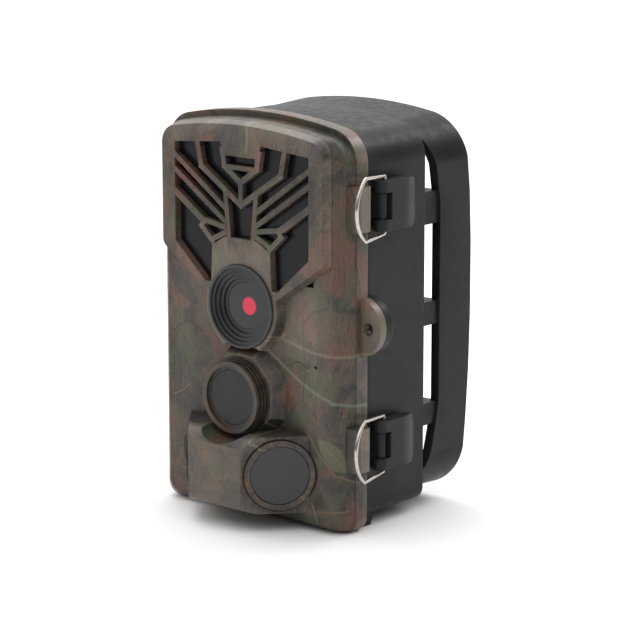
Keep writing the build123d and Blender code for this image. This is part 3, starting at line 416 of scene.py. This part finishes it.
def lens_with_painted_reflection(name):
    """Coated glass dome with a painted reflection: a red base colour and a red-pink emission stand in for
    the light it throws back.
    """
    mat, t, shader, mm = start(name)
    ripple = t.noise(mm, 0.9, 2.0)
    shader.inputs["Base Color"].default_value = (0.5, 0.02, 0.06, 1.0)
    # painted reflection: the dome emits red-pink light
    t.put(shader.inputs["Emission Color"],
          t.mix(t.step(ripple, 0.3, 0.7), (0.82, 0.035, 0.11), (0.86, 0.06, 0.14)))
    shader.inputs["Emission Strength"].default_value = PAINTED_REFLECTION_STRENGTH
    t.put(shader.inputs["Roughness"], t.step(ripple, 0.3, 0.7, 0.05, 0.12))
    bump(t, shader, ripple, 0.00001, 0.3, 0.0)
    return mat


def board_mask(name):
    """Green solder mask with copper tracks showing through."""
    mat, t, shader, mm = start(name)
    brick = t.node("ShaderNodeTexBrick")
    split = t.node("ShaderNodeSeparateXYZ")
    t.put(split.inputs[0], mm)
    t.put(brick.inputs["Vector"], t.combine(split.outputs[0], split.outputs[2], split.outputs[1]))
    brick.inputs["Scale"].default_value = 0.5
    brick.inputs["Mortar Size"].default_value = 0.06
    tracks = t.step(brick.outputs["Fac"], 0.4, 0.6)
    t.put(shader.inputs["Base Color"], t.mix(tracks, (0.012, 0.09, 0.035), (0.03, 0.16, 0.06)))
    shader.inputs["Roughness"].default_value = 0.35
    bump(t, shader, tracks, 0.00003, 0.6, 0.0001)
    return mat


# one material for each material slot, then the nodes that have their own
MATS = {
    "camo_shell": camouflage("camo_film", 2.15),
    "black_shell": plastic("black_moulding", (0.009, 0.009, 0.0095), 0.42, 2.6, 0.00005, 1.25,
                           radius=0.0005, gloss=0.16),
    "dark_bezel": plastic("dark_bezel_plastic", (0.01, 0.01, 0.0105), 0.38, 3.4, 0.00002, 1.3, gloss=0.2),
    "ir_filter": glassy("ir_filter_acrylic", (0.006, 0.006, 0.008), 0.25, coat=0.0, speck=0.02, gloss=0.2),
    "sensor_film": plastic("sensor_film_plastic", (0.024, 0.024, 0.026), 0.42, 1.2, 0.00002, 1.15),
    "clear_glass": camera_window("clear_window_painted_reflection"),
    "lens_glass": lens_with_painted_reflection("coated_lens_painted_reflection"),
    "steel_wire": metal("bright_wire", (0.56, 0.51, 0.48), 0.2),
    "steel": metal("zinc_steel", (0.6, 0.6, 0.6), 0.34, True),
    "brass": metal("turned_brass", (0.72, 0.5, 0.22), 0.28),
    "seal_rubber": plastic("seal_rubber_black", (0.014, 0.014, 0.014), 0.75, 4.0, 0.00004, 1.4),
    "key_rubber": plastic("key_rubber_grey", (0.06, 0.06, 0.064), 0.62, 4.0, 0.00003, 1.3),
    "tray_plastic": plastic("tray_moulding", (0.018, 0.018, 0.019), 0.55, 2.0, 0.00005, 1.4),
    "cell_jacket": plastic("cell_sleeve", (0.05, 0.06, 0.075), 0.25, 1.0, 0.00001, 1.6, coat=0.5),
    "board": board_mask("solder_mask"),
    "components": plastic("chip_epoxy", (0.018, 0.018, 0.018), 0.5, 5.0, 0.00002),
    "led_epoxy": glassy("led_epoxy_dome", (0.2, 0.19, 0.24), 0.12, coat=0.5),
    "metal_can": metal("nickel_can", (0.68, 0.66, 0.62), 0.26, True),
    "screen": glassy("lcd_glass", (0.006, 0.007, 0.009), 0.05, coat=0.6, speck=0.04),
    "sensor_chip": glassy("sensor_chip_face", (0.03, 0.05, 0.045), 0.12, coat=0.6),
}
OWN_MATS = {
    "sensor_window": plastic("front_sensor_film", (0.009, 0.009, 0.01), 0.4, 1.2, 0.00002, 1.15, gloss=0.3),
    # painted shade: the sensor bezel gets a darker copy of the camo film, about half as bright, without the
    # single leaves and twigs
    "sensor_bezel": camouflage("sensor_bezel_film_painted_shade", 1.1, strokes=False),
    "camera_bezel": plastic("camera_bezel_plastic", (0.02, 0.02, 0.021), 0.34, 3.4, 0.00002, 1.3),
}
for part in frame["record"]["subparts"]:
    holder = nodes[part["node"]]
    holder.data.materials.clear()
    holder.data.materials.append(OWN_MATS.get(part["node"]) or MATS[part["material_slot"]])

# ------------------------------------------------------------------ floor and light
low = Vector(cad_box[0])
ground = bpy.data.meshes.new("floor")
FLOOR_REACH = 3.0
corners = [(x * FLOOR_REACH, y * FLOOR_REACH) for x, y in ((-1, -1), (1, -1), (1, 1), (-1, 1))]
ground.from_pydata([(x, y, low.z) for x, y in corners], [], [(0, 1, 2, 3)])
floor = bpy.data.objects.new("floor", ground)
bpy.context.scene.collection.objects.link(floor)
floor_mat, t, shader, mm = start("pale_floor")
t.put(shader.inputs["Base Color"], t.mix(t.noise(mm, 0.02, 2.0), (0.86, 0.86, 0.86), (0.9, 0.9, 0.9)))
shader.inputs["Roughness"].default_value = 0.75
ground.materials.append(floor_mat)

# white to the camera; for the light, bright overhead and behind the object and dim in front
BACKDROP = (-0.65, 0.76, 0.0)
BEHIND_GLOW = 0.75
OVERHEAD_GLOW = 1.3
AIR_GLOW = 0.2
world = bpy.data.worlds.new("studio")
bpy.context.scene.world = world
world.use_nodes = True
world.node_tree.nodes.clear()
t = Tree(world.node_tree)
toward = t.node("ShaderNodeTexCoord").outputs["Generated"]
split = t.node("ShaderNodeSeparateXYZ")
t.put(split.inputs[0], toward)
facing = t.node("ShaderNodeVectorMath", operation="DOT_PRODUCT")
t.put(facing.inputs[0], toward)
facing.inputs[1].default_value = BACKDROP
behind = t.step(facing.outputs["Value"], 0.0, 0.7, 0.0, BEHIND_GLOW)
overhead = t.step(split.outputs[2], 0.25, 0.8, 0.0, OVERHEAD_GLOW)
strength = t.m("ADD", t.m("ADD", behind, overhead), AIR_GLOW)
lit = t.node("ShaderNodeBackground")
t.put(lit.inputs["Strength"], strength)
plain = t.node("ShaderNodeBackground")
choose = t.node("ShaderNodeMixShader")
t.put(choose.inputs[0], t.node("ShaderNodeLightPath").outputs["Is Camera Ray"])
t.put(choose.inputs[1], lit.outputs[0])
t.put(choose.inputs[2], plain.outputs[0])
for back in (lit, plain):
    back.inputs["Color"].default_value = (1.0, 1.0, 1.0, 1.0)
t.put(t.node("ShaderNodeOutputWorld").inputs[0], choose.outputs[0])


def softbox(name, place, target, size, power):
    """Rectangular area light at place, in metres, turned to target."""
    data = bpy.data.lights.new(name, "AREA")
    data.shape = "RECTANGLE"
    data.size = size[0]
    data.size_y = size[1]
    data.energy = power
    lamp = bpy.data.objects.new(name, data)
    bpy.context.scene.collection.objects.link(lamp)
    lamp.location = place
    lamp.rotation_euler = (Vector(target) - Vector(place)).to_track_quat("-Z", "Y").to_euler()


# place and target in metres, size in metres, power in watts
softbox("top_light", (-0.3, 0.1, 0.8), (0, 0, 0.07), (0.5, 0.5), 1.6)
softbox("left_light", (-0.9, -0.5, 0.45), (0, 0, 0.07), (0.3, 0.6), 1.2)
softbox("back_light", (0.3, 0.75, 0.8), (0, 0, 0.1), (0.3, 0.3), 2.2)
